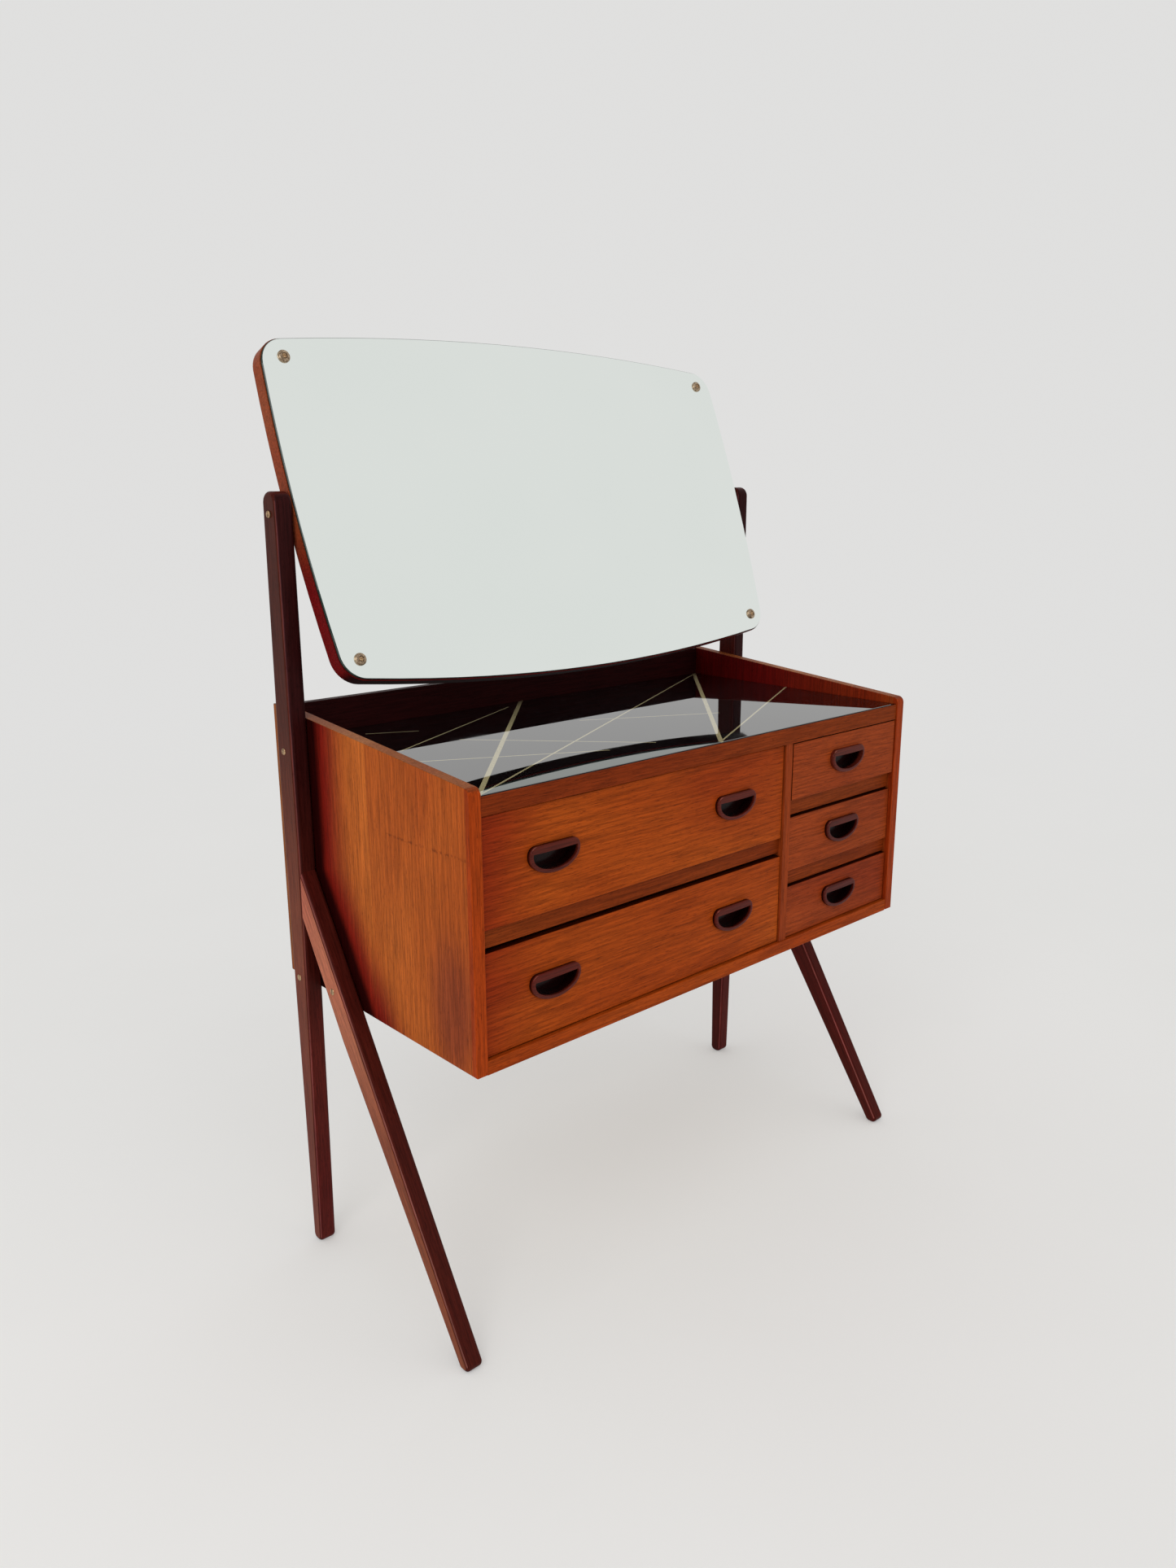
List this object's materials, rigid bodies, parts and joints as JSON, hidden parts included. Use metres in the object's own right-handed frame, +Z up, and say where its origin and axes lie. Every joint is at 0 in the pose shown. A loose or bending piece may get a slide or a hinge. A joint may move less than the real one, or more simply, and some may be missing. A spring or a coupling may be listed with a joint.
{
  "type": "dressing table",
  "caption": "Dressing table: teak carcass with a wide and a narrow column of drawers under a black glass top, hung between A-shaped legs whose posts carry a tilting mirror.",
  "frame": {"origin": "on the floor, in the middle of the overall width and overall depth", "axes": "+Z up, the drawers face -Y, +X is to the right when facing the drawers"},
  "size_m": [0.9052, 0.4642, 1.278],
  "materials": {
    "side_teak": "satin oiled veneer, vertical grain",
    "front_teak": "satin oiled veneer, horizontal grain",
    "rail_teak": "satin oiled wood, darker than the drawer fronts",
    "back_teak": "dark stained wood",
    "core_board": "plain board, hidden",
    "leg_beech": "satin lacquered stained beech",
    "mirror_teak": "satin wood edge",
    "mirror_silver": "silvered float glass",
    "black_glass": "black gloss glass",
    "screw_brass": "polished brass",
    "rosette_brass": "aged brass",
    "pivot_steel": "plain steel",
    "pull_mahogany": "gloss lacquered dark wood",
    "drawer_beech": "plain pale wood",
    "drawer_ply": "thin plywood"
  },
  "bodies": {
    "carcass": {"side_panel_left": "side_teak", "side_panel_right": "side_teak", "bottom_board": "core_board", "bottom_front_rail": "rail_teak", "top_board": "core_board", "top_front_rail": "rail_teak", "back_panel": "back_teak", "divider_panel": "rail_teak", "drawer_rail_left": "rail_teak", "drawer_rails_right": "rail_teak", "glass_top": "black_glass", "mirror_post_left": "leg_beech", "mirror_post_right": "leg_beech", "front_leg_left": "leg_beech", "front_leg_right": "leg_beech", "leg_screws": "screw_brass", "pivot_bushes": "pivot_steel", "drawer_runners_left": "drawer_beech", "drawer_runners_right": "drawer_beech"},
    "mirror": {"mirror_board": "mirror_teak", "mirror_glass": "mirror_silver", "mirror_rosettes": "rosette_brass", "mirror_screws": "screw_brass", "pivot_screws": "screw_brass", "pivot_washers": "pivot_steel"},
    "drawer_left_top": {"drawer_left_top_front": "front_teak", "drawer_left_top_side_left": "drawer_beech", "drawer_left_top_side_right": "drawer_beech", "drawer_left_top_back": "drawer_beech", "drawer_left_top_bottom": "drawer_ply", "drawer_left_top_pulls": "pull_mahogany"},
    "drawer_left_bottom": {"drawer_left_bottom_front": "front_teak", "drawer_left_bottom_side_left": "drawer_beech", "drawer_left_bottom_side_right": "drawer_beech", "drawer_left_bottom_back": "drawer_beech", "drawer_left_bottom_bottom": "drawer_ply", "drawer_left_bottom_pulls": "pull_mahogany"},
    "drawer_right_top": {"drawer_right_top_front": "front_teak", "drawer_right_top_side_left": "drawer_beech", "drawer_right_top_side_right": "drawer_beech", "drawer_right_top_back": "drawer_beech", "drawer_right_top_bottom": "drawer_ply", "drawer_right_top_pull": "pull_mahogany"},
    "drawer_right_middle": {"drawer_right_middle_front": "front_teak", "drawer_right_middle_side_left": "drawer_beech", "drawer_right_middle_side_right": "drawer_beech", "drawer_right_middle_back": "drawer_beech", "drawer_right_middle_bottom": "drawer_ply", "drawer_right_middle_pull": "pull_mahogany"},
    "drawer_right_bottom": {"drawer_right_bottom_front": "front_teak", "drawer_right_bottom_side_left": "drawer_beech", "drawer_right_bottom_side_right": "drawer_beech", "drawer_right_bottom_back": "drawer_beech", "drawer_right_bottom_bottom": "drawer_ply", "drawer_right_bottom_pull": "pull_mahogany"}
  },
  "joints": [
    {"name": "mirror_tilt", "type": "hinge", "parent": "carcass", "child": "mirror", "pos_m": [0, 0.13926, 1.043], "axis": [1, 0, 0], "range_deg": [-45, 65]},
    {"name": "drawer_left_top_slide", "type": "slide", "parent": "carcass", "child": "drawer_left_top", "axis": [0, -1, 0], "range_m": [0, 0.3]},
    {"name": "drawer_left_bottom_slide", "type": "slide", "parent": "carcass", "child": "drawer_left_bottom", "axis": [0, -1, 0], "range_m": [0, 0.3]},
    {"name": "drawer_right_top_slide", "type": "slide", "parent": "carcass", "child": "drawer_right_top", "axis": [0, -1, 0], "range_m": [-0.004, 0.3]},
    {"name": "drawer_right_middle_slide", "type": "slide", "parent": "carcass", "child": "drawer_right_middle", "axis": [0, -1, 0], "range_m": [0, 0.3]},
    {"name": "drawer_right_bottom_slide", "type": "slide", "parent": "carcass", "child": "drawer_right_bottom", "axis": [0, -1, 0], "range_m": [0, 0.3]}
  ]
}
